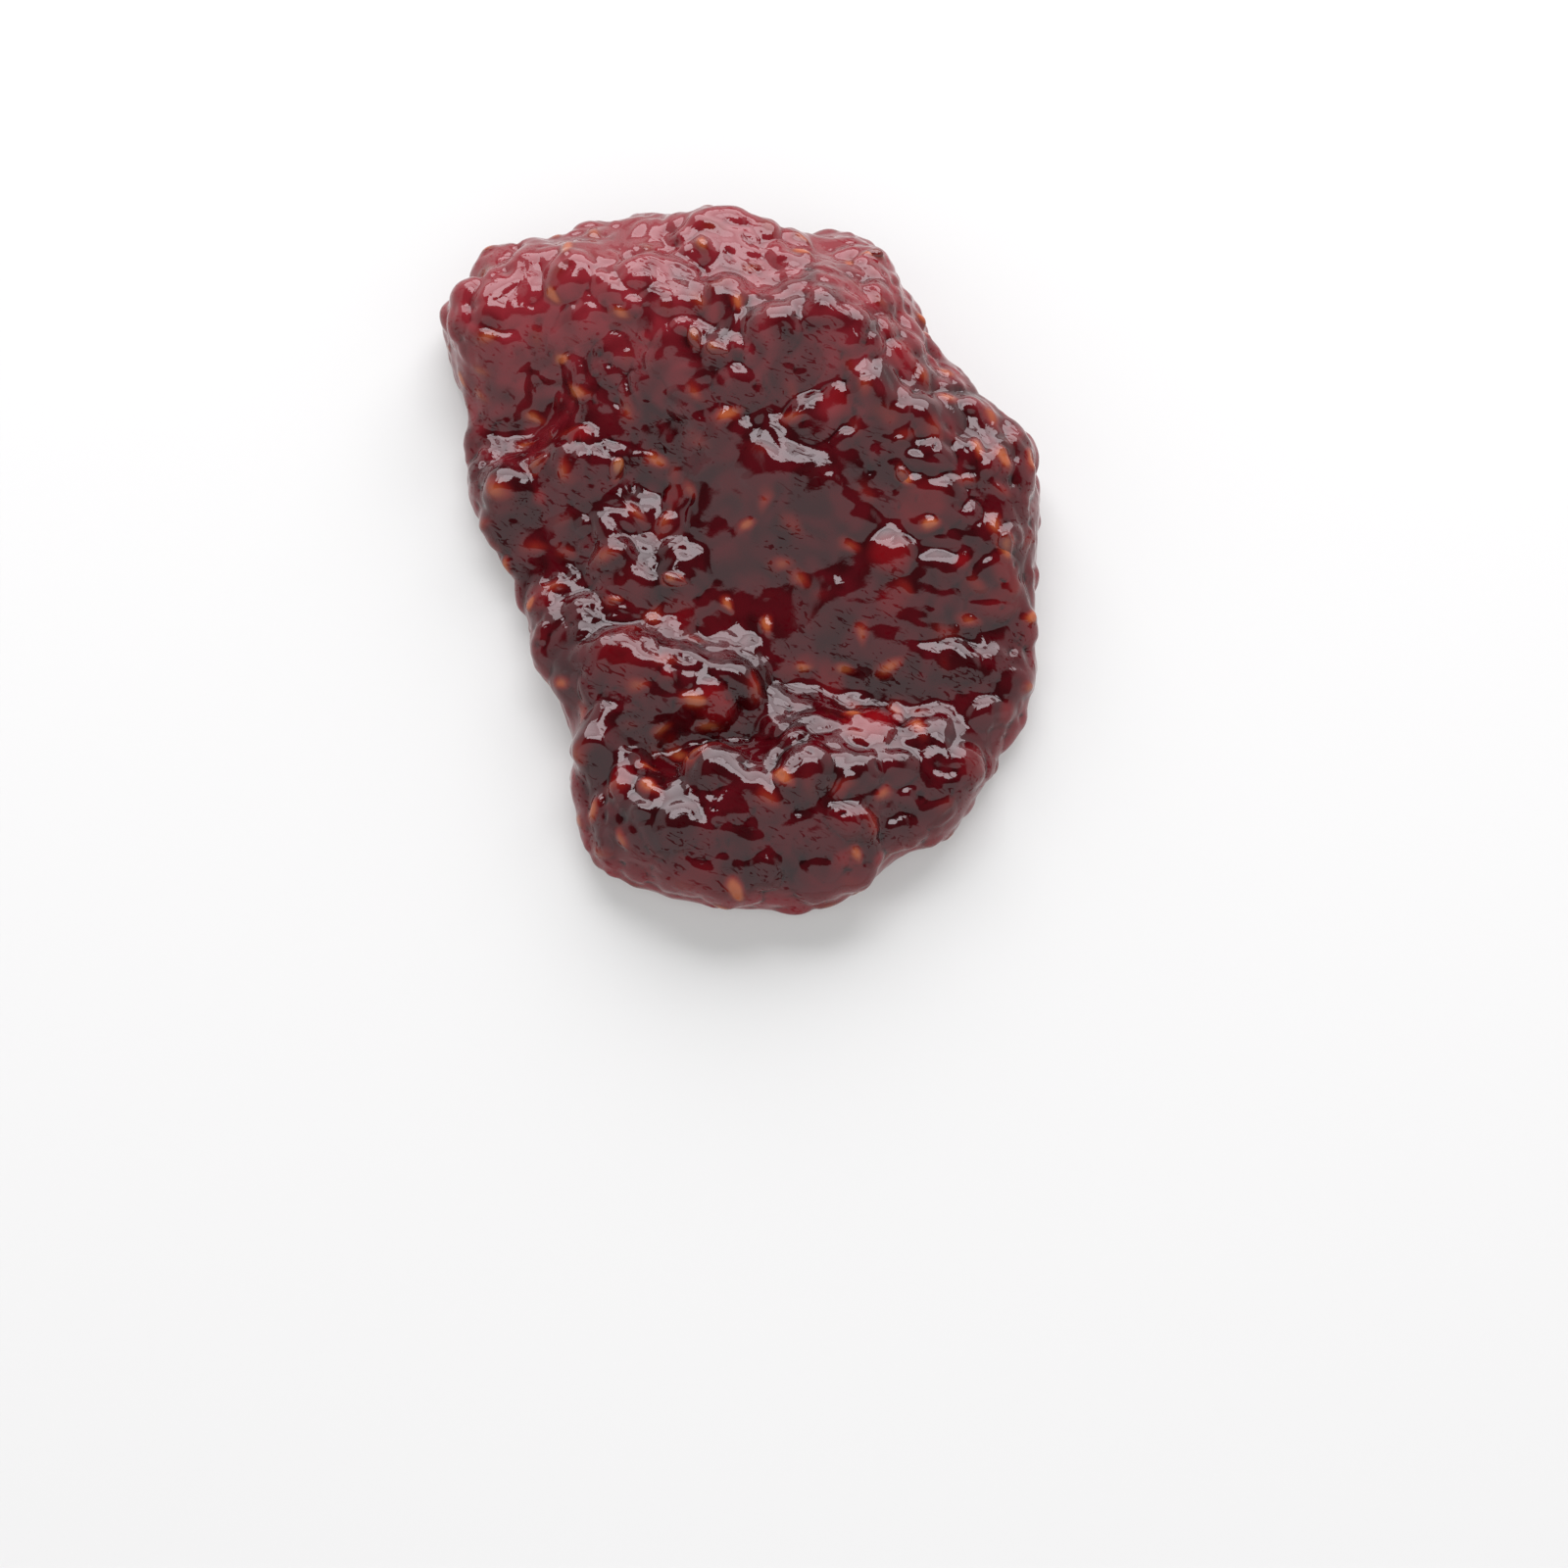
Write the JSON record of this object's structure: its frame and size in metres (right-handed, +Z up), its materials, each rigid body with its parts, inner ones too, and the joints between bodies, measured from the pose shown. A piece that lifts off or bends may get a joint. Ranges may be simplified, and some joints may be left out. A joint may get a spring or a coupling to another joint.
{
  "type": "raspberry jam dollop",
  "caption": "Thick dollop of seedy raspberry jam as spooned out on a flat surface: a lobed, rounded mound with a low heap and folds on top and a flat underside.",
  "frame": {"origin": "bottom centre of the dollop's box, on the surface it lies on", "axes": "+Z up, +Y towards the back and along the dollop's length, +X to the right"},
  "size_m": [0.0544, 0.0664, 0.016],
  "materials": {
    "jam": "wet gloss",
    "seed": "wet gloss"
  },
  "bodies": {
    "root": {"jam_dollop": "jam"}
  },
  "joints": []
}
